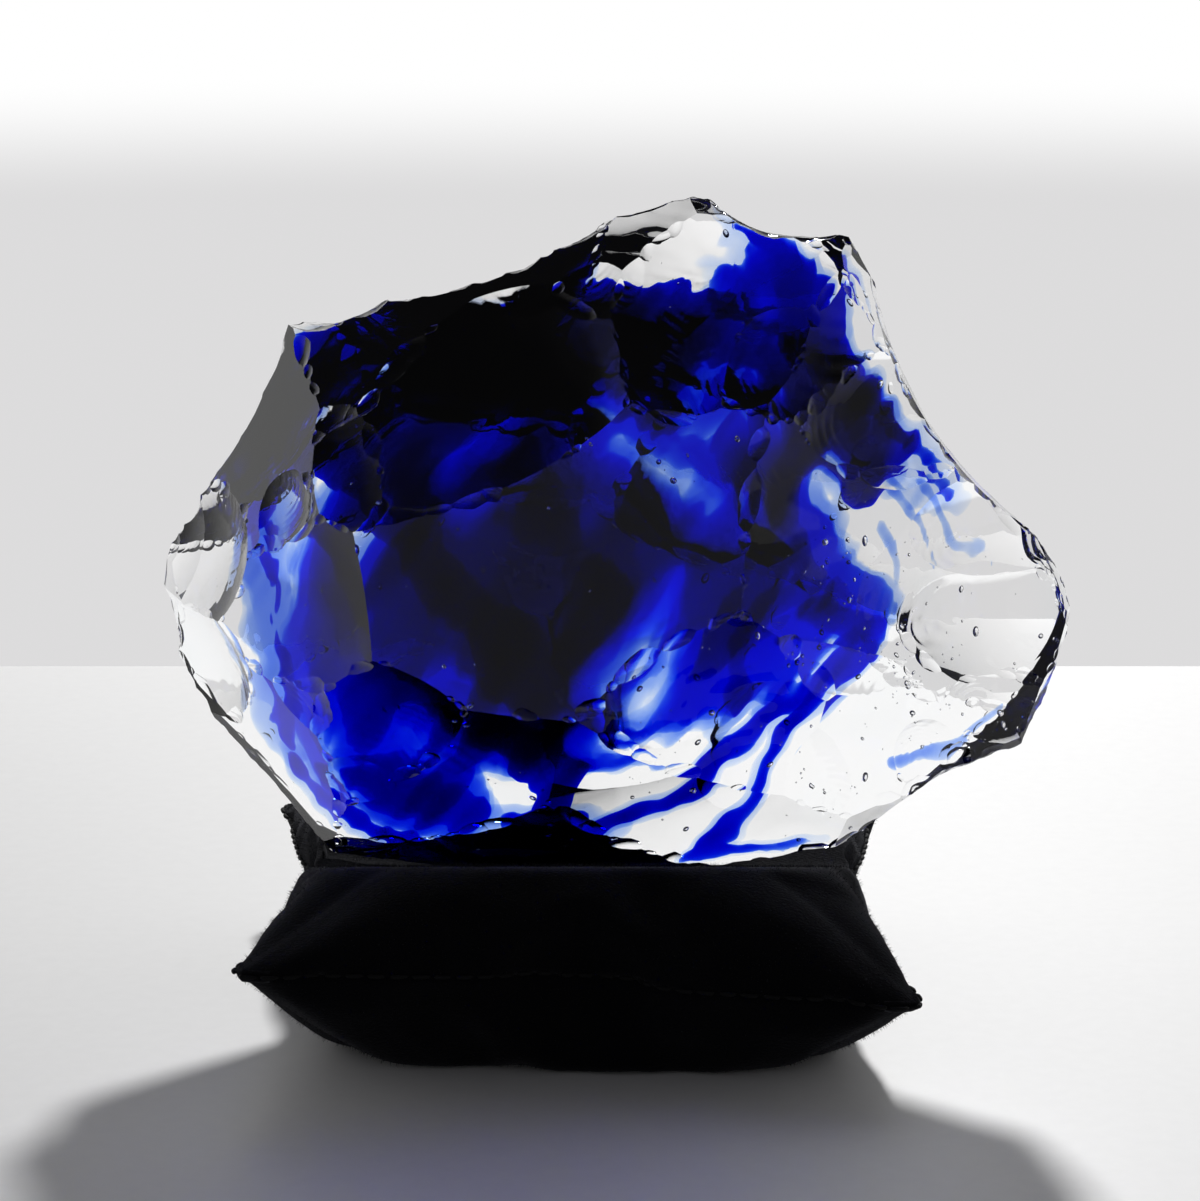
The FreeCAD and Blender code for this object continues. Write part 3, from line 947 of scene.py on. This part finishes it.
def sewn_squares():
    """One closed sheet in metres: the top square's points first, then the bottom's inner points."""
    n = CLOTH_CELLS
    points, faces, top, bottom = [], [], {}, {}
    for i in range(n + 1):
        for j in range(n + 1):
            x, y = rounded_square(2 * i / n - 1, 2 * j / n - 1)
            edge = i in (0, n) or j in (0, n)
            lift = 0.0 if edge else FIRST_LIFT
            top[i, j] = len(points)
            points.append((CUSHION_MIDDLE.x + x, CUSHION_MIDDLE.y + y, SEAM_HEIGHT + lift))
            bottom[i, j] = top[i, j]
    for i in range(1, n):
        for j in range(1, n):
            x, y, z = points[top[i, j]]
            bottom[i, j] = len(points)
            points.append((x, y, SEAM_HEIGHT - FIRST_LIFT))
    for i in range(n):
        for j in range(n):
            faces.append((top[i, j], top[i + 1, j], top[i + 1, j + 1], top[i, j + 1]))
    for i in range(n):
        for j in range(n):
            faces.append((bottom[i, j], bottom[i, j + 1], bottom[i + 1, j + 1], bottom[i + 1, j]))
    seam = [top[i, 0] for i in range(n)] + [top[n, j] for j in range(n)]
    seam += [top[i, n] for i in range(n, 0, -1)] + [top[0, j] for j in range(n, 0, -1)]
    return points, faces, seam


# %% Stuff it
STUFFING_STEPS = 20
STUFFING_VOLUME = 100e-6                      # cubic metres


def stuffed():
    """Blows the sewn squares up and returns the points in metres, with faces and seam."""
    points, faces, seam = sewn_squares()
    sheet = add_object("cloth", mesh_from("cloth", [Vector(p) * CLOTH_SCALE for p in points], faces))
    cloth = sheet.modifiers.new("velvet", "CLOTH")
    firmness = {"quality": 8, "mass": 0.3, "air_damping": 10, "tension_stiffness": 100,
                "compression_stiffness": 100, "shear_stiffness": 33, "bending_stiffness": 0.5,
                "tension_damping": 20, "compression_damping": 20, "shear_damping": 20,
                "use_pressure": True, "uniform_pressure_force": 4.0, "use_pressure_volume": True,
                "target_volume": STUFFING_VOLUME * CLOTH_SCALE ** 3}
    for key, value in firmness.items():
        setattr(cloth.settings, key, value)
    cloth.settings.effector_weights.gravity = 0
    cloth.collision_settings.use_collision = False
    cloth.point_cache.frame_start = 1
    cloth.point_cache.frame_end = STUFFING_STEPS
    for step in range(1, STUFFING_STEPS + 1):
        bpy.context.scene.frame_set(step)
    still = sheet.evaluated_get(bpy.context.evaluated_depsgraph_get()).to_mesh()
    result = np.array([v.co for v in still.vertices]) / CLOTH_SCALE
    bpy.context.scene.frame_set(1)
    bpy.data.meshes.remove(sheet.data)
    print("stuffed to", np.round((result.max(0) - result.min(0)) / MM, 1), "mm")
    return result, faces, seam


cloth_points, cloth_faces, SEAM = stuffed()

# %% [markdown]
# ### Seat and foot
#
# The stuffed shape is still free in the air. Here it is set down: the table flattens it, and the lump
# presses its own underside into the top, so the velvet follows the glass with less than a millimetre
# of room. The filling that the glass pushes away rises in a low bank round the seat.

# %% Press it between the table and the glass
SEAT_GAP = 0.9 * MM
TABLE_SOFTNESS = 0.8 * MM
VELVET_THICKNESS = 1.0 * MM
BANK_WIDTH = 9.0 * MM
CORNER_REACH = 45.0 * MM
TOP_RISE = 15.5 * MM                         # from the seam to the top, before it is pressed
FOOT_DROP = 26.0 * MM                        # from the seam down, before the table stops it
LEAN = 0.05                                  # the front seam hangs a little lower on the right
SEAT_HEIGHT = 18.2 * MM
BOWL_SLOPE = 0.30                            # the weight of the glass draws the top down to it
BANK_RISE = 0.9 * MM                         # how far the bank rises at BANK_FULL above the seam
BANK_FULL = 12 * MM
NEAR_GLASS = 40 * MM                         # glass lower than this counts as close
DENT_FADE = 6 * MM                           # dents are full this far from the seam
FEELER = 1.5 * MM                            # the glass is felt at five places round each point
FEELER_ANGLES = (0, 1.26, 2.51, 3.77, 5.03)
RAY_FROM = -50 * MM                          # a ray to the lump's underside begins under the table


def glass_foot(x, y):
    """The height of the lump's underside above a place. It is far up where there is no lump."""
    hit, spot, _, _ = lump.ray_cast(Vector((x, y, RAY_FROM)), Vector((0, 0, 1)))
    return spot.z if hit else 1.0


def softly_below(value, limit, softness):
    """The lower of two heights, with the corner between them rounded."""
    gap = value - limit
    return value - (math.sqrt(gap * gap + softness * softness) + gap) / 2


def pressed(points):
    """Fits the stuffed shape to its place, flattens it on the table and seats the lump in it."""
    low, high = points.min(0), points.max(0)
    middle = (low + high) / 2
    span = CUSHION_HIGH - CUSHION_LOW
    grow = (span.x / (high[0] - low[0]), (CAD_HIGH.y - CAD_LOW.y) / (high[1] - low[1]))
    result = []
    for x, y, z in points:
        px = CUSHION_MIDDLE.x + (x - middle[0]) * grow[0]
        py = CUSHION_MIDDLE.y + (y - middle[1]) * grow[1]
        half_height = (z - middle[2]) / (high[2] - low[2]) * 2
        pz = SEAM_HEIGHT + half_height * (TOP_RISE if z > middle[2] else FOOT_DROP)
        pz -= LEAN * (px - CUSHION_MIDDLE.x) * max(0.0, CUSHION_MIDDLE.y - py) / CORNER_REACH
        spot = Vector((px, py, pz))
        dent = noise.noise(spot * 55.0) * 0.7 + noise.noise(spot * 130.0) * 0.3
        pz += dent * MM * min(1.0, abs(pz - SEAM_HEIGHT) / DENT_FADE)
        near = min(glass_foot(px + dx, py + dy) for dx, dy in
                   [(0, 0), (BANK_WIDTH, 0), (-BANK_WIDTH, 0), (0, BANK_WIDTH), (0, -BANK_WIDTH)])
        if pz > SEAM_HEIGHT and near < NEAR_GLASS:
            pz += BANK_RISE * (pz - SEAM_HEIGHT) / BANK_FULL
        around = [(FEELER * math.cos(a), FEELER * math.sin(a)) for a in FEELER_ANGLES]
        foot = min(glass_foot(px + dx, py + dy) for dx, dy in [(0, 0)] + around)
        bowl = SEAT_HEIGHT + BOWL_SLOPE * abs(py - CUSHION_MIDDLE.y)
        pz = softly_below(pz, min(CUSHION_HIGH.z + 0.4 * MM, bowl), 1.2 * MM)
        pz = softly_below(pz, foot - SEAT_GAP, 0.5 * MM)
        pz = -softly_below(-pz, -0.15 * MM, TABLE_SOFTNESS)
        result.append((px, py, pz))
    return np.array(result)


cushion_points = pressed(cloth_points)
print("cushion", np.round(cushion_points.min(0) / MM, 1), np.round(cushion_points.max(0) / MM, 1))

# %% [markdown]
# ### Velvet
#
# Velvet is a pile of short fibres that stand on a woven ground. They swallow nearly all the light
# that falls into them and only shine a little when they are seen from the side, which a sheen layer
# does. The way the pile leans changes in soft patches where fingers have brushed it.

# %% Velvet, thread and filling materials
def velvet_material():
    bench = Bench("black velvet")
    place = bench.place()
    brushed = bench.add("ShaderNodeTexNoise", None, {"Vector": place, "Scale": 70.0, "Detail": 3.0})
    pile = bench.add("ShaderNodeTexNoise", None, {"Vector": place, "Scale": 2600.0, "Detail": 2.0})
    colour = bench.mix(brushed * 0.6 + pile * 0.4,
                       (0.0012, 0.0012, 0.0016, 1), (0.006, 0.006, 0.0075, 1))
    bump = bench.add("ShaderNodeBump", None,
                     {"Strength": 0.5, "Distance": 0.0003, "Height": pile + brushed * 0.5})
    surface = bench.add("ShaderNodeBsdfPrincipled", None,
                        {"Base Color": colour, "Roughness": 1.0, "Specular IOR Level": 0.02,
                         "Sheen Weight": 0.08, "Sheen Roughness": 0.5,
                         "Sheen Tint": (0.75, 0.76, 0.85, 1), "Normal": bump})
    return bench.finish(surface)


def thread_material():
    bench = Bench("black thread")
    ply = bench.add("ShaderNodeTexWave", {"bands_direction": "DIAGONAL"},
                    {"Vector": bench.place(), "Scale": 1500.0, "Distortion": 1.0})
    colour = bench.mix(ply, (0.0015, 0.0015, 0.002, 1), (0.006, 0.006, 0.007, 1))
    surface = bench.add("ShaderNodeBsdfPrincipled", None,
                        {"Base Color": colour, "Roughness": 0.8, "Specular IOR Level": 0.2})
    return bench.finish(surface)


def filling_material():
    bench = Bench("polyester filling")
    tufts = bench.add("ShaderNodeTexNoise", None,
                      {"Vector": bench.place(), "Scale": 300.0, "Detail": 4.0})
    colour = bench.mix(tufts, (0.62, 0.62, 0.60, 1), (0.85, 0.85, 0.83, 1))
    return bench.finish(bench.add("ShaderNodeBsdfPrincipled", None,
                                  {"Base Color": colour, "Roughness": 0.9}))


VELVET, THREAD, FILLING = velvet_material(), thread_material(), filling_material()


# %% The two panels and what is inside
def own_piece(name, node_name, body, mesh, material):
    """A finished piece: its material, the body it moves with and what it stands for."""
    mesh.materials.clear()
    mesh.materials.append(material)
    mesh.polygons.foreach_set("use_smooth", np.ones(len(mesh.polygons), bool))
    piece = add_object(name, mesh)
    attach(piece, body)
    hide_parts(node_name)
    print(name, len(mesh.polygons), "faces")
    return piece


def with_modifiers(mesh, *settings):
    """The mesh after some modifiers, each a (type, settings) pair."""
    holder = add_object("bench", mesh)
    for kind, values in settings:
        modifier = holder.modifiers.new(kind.lower(), kind)
        for key, value in values.items():
            setattr(modifier, key, value)
    result = bpy.data.meshes.new_from_object(
        holder.evaluated_get(bpy.context.evaluated_depsgraph_get()))
    bpy.data.meshes.remove(mesh)
    return result


PANEL_FACES = CLOTH_CELLS * CLOTH_CELLS
STITCH_PITCH = 2.9 * MM
PUCKER_REACH = 1.8 * MM                      # how far from the seam a stitch still pulls
seam_line = cushion_points[SEAM]


def puckered(points):
    """Pulls the cloth in at every stitch, most of all right at the seam."""
    steps = np.linalg.norm(np.roll(seam_line, -1, 0) - seam_line, axis=1)
    along = np.concatenate([[0], np.cumsum(steps)[:-1]])
    result = points.copy()
    middle = np.array(CUSHION_MIDDLE)
    for i, point in enumerate(points):
        gaps = np.linalg.norm(seam_line - point, axis=1)
        nearest = int(gaps.argmin())
        fade = math.exp(-gaps[nearest] / PUCKER_REACH)
        if fade > 0.02:
            wave = math.sin(2 * math.pi * along[nearest] / (STITCH_PITCH * 2.6))
            inward = middle - point
            result[i] += inward / np.linalg.norm(inward) * fade * (0.35 + 0.25 * wave) * MM
    return result


panel_points = puckered(cushion_points)
for name, node_name, faces in [
        ("cushion_velvet_top", "cushion_top_panel", cloth_faces[:PANEL_FACES]),
        ("cushion_velvet_bottom", "cushion_bottom_panel", cloth_faces[PANEL_FACES:])]:
    used = sorted({corner for face in faces for corner in face})
    order = {corner: i for i, corner in enumerate(used)}
    flat = mesh_from(name, panel_points[used],
                     [[order[corner] for corner in face] for face in faces])
    thick = with_modifiers(flat, ("SUBSURF", {"levels": 1}),
                           ("SOLIDIFY", {"thickness": VELVET_THICKNESS, "offset": -1.0}))
    own_piece(name, node_name, "cushion", thick, VELVET)


FILL_WIDTH = 0.94                            # the filling's share of the cushion's width
FILL_HEIGHT = 0.80
FILL_SINK = 1.1 * MM                         # how far its top lies under the velvet's seat


def filling_mesh():
    """A tufted body inside the two panels."""
    inner = []
    for point in cushion_points:
        x, y, z = point
        rise = (z - SEAM_HEIGHT) * FILL_HEIGHT
        rise -= FILL_SINK * min(1.0, max(0.0, rise) / FILL_SINK)
        tuft = 1 - 0.02 * abs(noise.noise(Vector(point) * 260.0))
        inner.append((CUSHION_MIDDLE.x + (x - CUSHION_MIDDLE.x) * FILL_WIDTH * tuft,
                      CUSHION_MIDDLE.y + (y - CUSHION_MIDDLE.y) * FILL_WIDTH * tuft,
                      SEAM_HEIGHT + rise * tuft))
    return mesh_from("filling", inner, cloth_faces)


own_piece("cushion_filling_fibre", "cushion_filling", "cushion",
          filling_mesh(), FILLING)

# %% [markdown]
# ### Stitches
#
# The seam is machine sewn with black thread, apart from a gap in the middle of the back, where the
# filling went in. That gap is closed by hand, with stitches that cross from one panel to the other.

# %% Sew it
THREAD_RADIUS = 0.28 * MM
CLOSING = 12
CLOSING_PITCH = 3.2 * MM
OPENING_HALF = (CLOSING / 2 + 0.6) * CLOSING_PITCH


def stitch(path, radius, sides=8):
    """Points and faces of a thread that follows a path and is pointed at both ends."""
    rings, faces = [], []
    for i, point in enumerate(path):
        way = (path[min(i + 1, len(path) - 1)] - path[max(i - 1, 0)]).normalized()
        side = way.orthogonal().normalized()
        up = way.cross(side)
        thick = radius * (0.35 if i in (0, len(path) - 1) else 1.0)
        for k in range(sides):
            angle = 2 * math.pi * k / sides
            rings.append(point + (side * math.cos(angle) + up * math.sin(angle)) * thick)
    for i in range(len(path) - 1):
        for k in range(sides):
            a, b = i * sides + k, i * sides + (k + 1) % sides
            faces.append((a, b, b + sides, a + sides))
    faces.append(tuple(range(sides))[::-1])
    faces.append(tuple(range(len(rings) - sides, len(rings))))
    return rings, faces


def joined(name, parts):
    points, faces = [], []
    for part_points, part_faces in parts:
        faces += [tuple(corner + len(points) for corner in face) for face in part_faces]
        points += part_points
    return mesh_from(name, points, faces)


def along_seam(distance, lengths):
    """The place on the closed seam line after a distance."""
    distance %= lengths[-1]
    i = int(np.searchsorted(lengths, distance, "right")) - 1
    start, end = seam_line[i], seam_line[(i + 1) % len(seam_line)]
    share = (distance - lengths[i]) / (lengths[i + 1] - lengths[i])
    return Vector(start + (end - start) * share)


seam_steps = np.linalg.norm(np.roll(seam_line, -1, 0) - seam_line, axis=1)
seam_lengths = np.concatenate([[0], np.cumsum(seam_steps)])
machine, closing = [], []
for i in range(round(seam_lengths[-1] / STITCH_PITCH)):
    path = [along_seam(i * STITCH_PITCH + share * STITCH_PITCH * 0.84, seam_lengths)
            for share in (0, 0.2, 0.4, 0.6, 0.8, 1.0)]
    middle = path[2]
    if middle.y > CUSHION_MIDDLE.y and abs(middle.x - CUSHION_MIDDLE.x) < OPENING_HALF:
        continue
    inward = (Vector(CUSHION_MIDDLE) - middle).normalized()
    rise = [0.55, 0.25, 0.12, 0.12, 0.25, 0.55]
    machine.append(stitch([p + inward * r * MM for p, r in zip(path, rise)], THREAD_RADIUS))
back_seam = [Vector(p) for p in seam_line if p[1] > CUSHION_MIDDLE.y]
for i in range(CLOSING):
    x = CUSHION_MIDDLE.x + (i - (CLOSING - 1) / 2) * CLOSING_PITCH
    spot = min(back_seam, key=lambda p: abs(p.x - x))
    path = []
    for share in (-1.0, -0.6, -0.2, 0.2, 0.6, 1.0):
        out = 0.20 * MM + 0.30 * MM * (1 - share * share) - 0.9 * MM * share * share
        path.append(Vector((x + 0.35 * MM * share, spot.y + out, spot.z + 1.7 * MM * share)))
    closing.append(stitch(path, THREAD_RADIUS))
own_piece("cushion_seam_thread", "cushion_edge_thread", "cushion",
          joined("seam thread", machine), THREAD)
own_piece("cushion_hand_stitches", "cushion_closing_stitches", "cushion",
          joined("hand stitches", closing), THREAD)

# %% [markdown]
# ### Pile
#
# Seen against the light, velvet has no clean outline: single fibres stand out of it. Twenty-six
# thousand real fibres, each a thin closed spike, give the cushion that soft edge from every side.

# %% Fibres
FIBRES = 26000
FIBRE_RADIUS = 0.035 * MM
BARE_FOOT = 0.9 * MM                         # no fibres below this, where the cushion lies flat
PILE_CLEARANCE = 0.3 * MM                    # between a fibre's tip and the glass
pile_draw = np.random.default_rng(5)


def pile_mesh(panels):
    points, faces = [], []
    for panel in panels:
        mesh = panel.data
        mesh.calc_loop_triangles()
        triangles = [t for t in mesh.loop_triangles if t.polygon_index < len(mesh.polygons) // 2]
        areas = np.array([t.area for t in triangles])
        chosen = pile_draw.choice(len(triangles), FIBRES // len(panels), p=areas / areas.sum())
        for index in chosen:
            triangle = triangles[index]
            a, b = sorted(pile_draw.uniform(0, 1, 2))
            corners = [mesh.vertices[v].co for v in triangle.vertices]
            root = corners[0] * a + corners[1] * (b - a) + corners[2] * (1 - b)
            normal = mesh.polygons[triangle.polygon_index].normal
            if root.z < BARE_FOOT or normal.length < 0.5:
                continue
            lean = Vector(pile_draw.normal(0, 0.35, 3))
            tip = root + (normal + lean).normalized() * pile_draw.uniform(0.25, 0.75) * MM
            if depth_at(tip) > -PILE_CLEARANCE:
                continue
            side = normal.orthogonal().normalized() * FIBRE_RADIUS
            other = normal.cross(side)
            base = len(points)
            points += [root + side, root - side * 0.5 + other * 0.87,
                       root - side * 0.5 - other * 0.87, tip]
            faces += [(base, base + 1, base + 3), (base + 1, base + 2, base + 3),
                      (base + 2, base, base + 3), (base, base + 2, base + 1)]
    return mesh_from("velvet pile", points, faces)


panels = [bpy.data.objects[name] for name in ("cushion_velvet_top", "cushion_velvet_bottom")]
own_piece("cushion_velvet_pile", "cushion_top_panel", "cushion",
          pile_mesh(panels), VELVET)

# %% [markdown]
# ## The studio
#
# A pale table that ends behind the object, a pale surround that is brighter behind the lump than in
# front of it, and one soft light behind and above. Glass is seen by what is behind it, so the light
# comes from the back, and the dimmer front gives the facets their dark edges.

# %% Table, surround, light
TABLE_BACK = 0.19
TABLE_FRONT = -0.26
TABLE_REACH = 1.2
CAMERA_TARGET = Vector((0.5 * (LUMP_LOW.x + LUMP_HIGH.x) - 1.5 * MM, 0, 56.4 * MM))
CAMERA_DISTANCE = 0.570
CAMERA_ELEVATION = math.radians(13)
LENS = 123.8
FRONT_LIGHT = (0.22, 0.22, 0.23, 1)
CEILING_LIGHT = (0.04, 0.04, 0.045, 1)
WINDOW_PLACE = (0.12, 1.05, 0.84)
WINDOW_AIM = Vector((0, 0, 0.04))
WINDOW_SIZE = 0.14
WINDOW_WATTS = 15.5


def table_material():
    bench = Bench("pale table")
    grain = bench.add("ShaderNodeTexNoise", None, {"Vector": bench.place(), "Scale": 400.0})
    colour = bench.mix(grain, (0.76, 0.755, 0.75, 1), (0.80, 0.795, 0.79, 1))
    return bench.finish(bench.add("ShaderNodeBsdfPrincipled", None,
                                  {"Base Color": colour, "Roughness": 0.55}))


table = add_object("table", mesh_from("table", [
    (-TABLE_REACH, TABLE_FRONT, 0), (TABLE_REACH, TABLE_FRONT, 0),
    (TABLE_REACH, TABLE_BACK, 0), (-TABLE_REACH, TABLE_BACK, 0)], [(0, 1, 2, 3)]))
table.data.materials.append(table_material())


def light_the_surround():
    """A pale ring all round, brightest behind the object, under a ceiling that stays dark."""
    world = bpy.data.worlds.new("surround")
    bpy.context.scene.world = world
    bench = Bench("surround", world)
    way = bench.add("ShaderNodeSeparateXYZ", None, {0: bench.add("ShaderNodeTexCoord")})
    toward_back, height = way.other("Y"), way.other("Z")

    def step(value, low, high):
        return bench.add("ShaderNodeMapRange", {"interpolation_type": "SMOOTHSTEP"},
                         {"Value": value, "From Min": low, "From Max": high})

    wall = bench.mix(step(height, -0.13, -0.10), (0.72, 0.715, 0.72, 1), (1.0, 1.0, 1.0, 1))
    ring = bench.mix(step(toward_back, -0.25, 0.45), FRONT_LIGHT, wall)
    ceiling = bench.mix(step(height, 0.35, 0.75), ring, CEILING_LIGHT)
    bench.add("ShaderNodeOutputWorld", None,
              {"Surface": bench.add("ShaderNodeBackground", None, {"Color": ceiling})})


light_the_surround()
lamp = bpy.data.lights.new("window", "AREA")
lamp.shape = "DISK"
lamp.size = WINDOW_SIZE
lamp.energy = WINDOW_WATTS
lamp_holder = add_object("window", lamp)
lamp_holder.location = WINDOW_PLACE
lamp_holder.rotation_euler = (WINDOW_AIM - lamp_holder.location).to_track_quat("-Z", "Y").to_euler()
print("window", lamp.energy, "W, table", table.name)

# %% Camera
camera = bpy.data.cameras.new("camera")
camera.lens = LENS
camera.sensor_width = 36
camera.clip_start = 0.01
camera_holder = add_object("camera", camera)
back_and_up = Vector((0, -math.cos(CAMERA_ELEVATION), math.sin(CAMERA_ELEVATION)))
camera_holder.location = CAMERA_TARGET + back_and_up * CAMERA_DISTANCE
camera_holder.rotation_euler = (-back_and_up).to_track_quat("-Z", "Y").to_euler()
scene = bpy.context.scene
scene.camera = camera_holder
scene.view_settings.view_transform = "Standard"
scene.cycles.max_bounces = 32
scene.cycles.transmission_bounces = 32
scene.cycles.transparent_max_bounces = 16
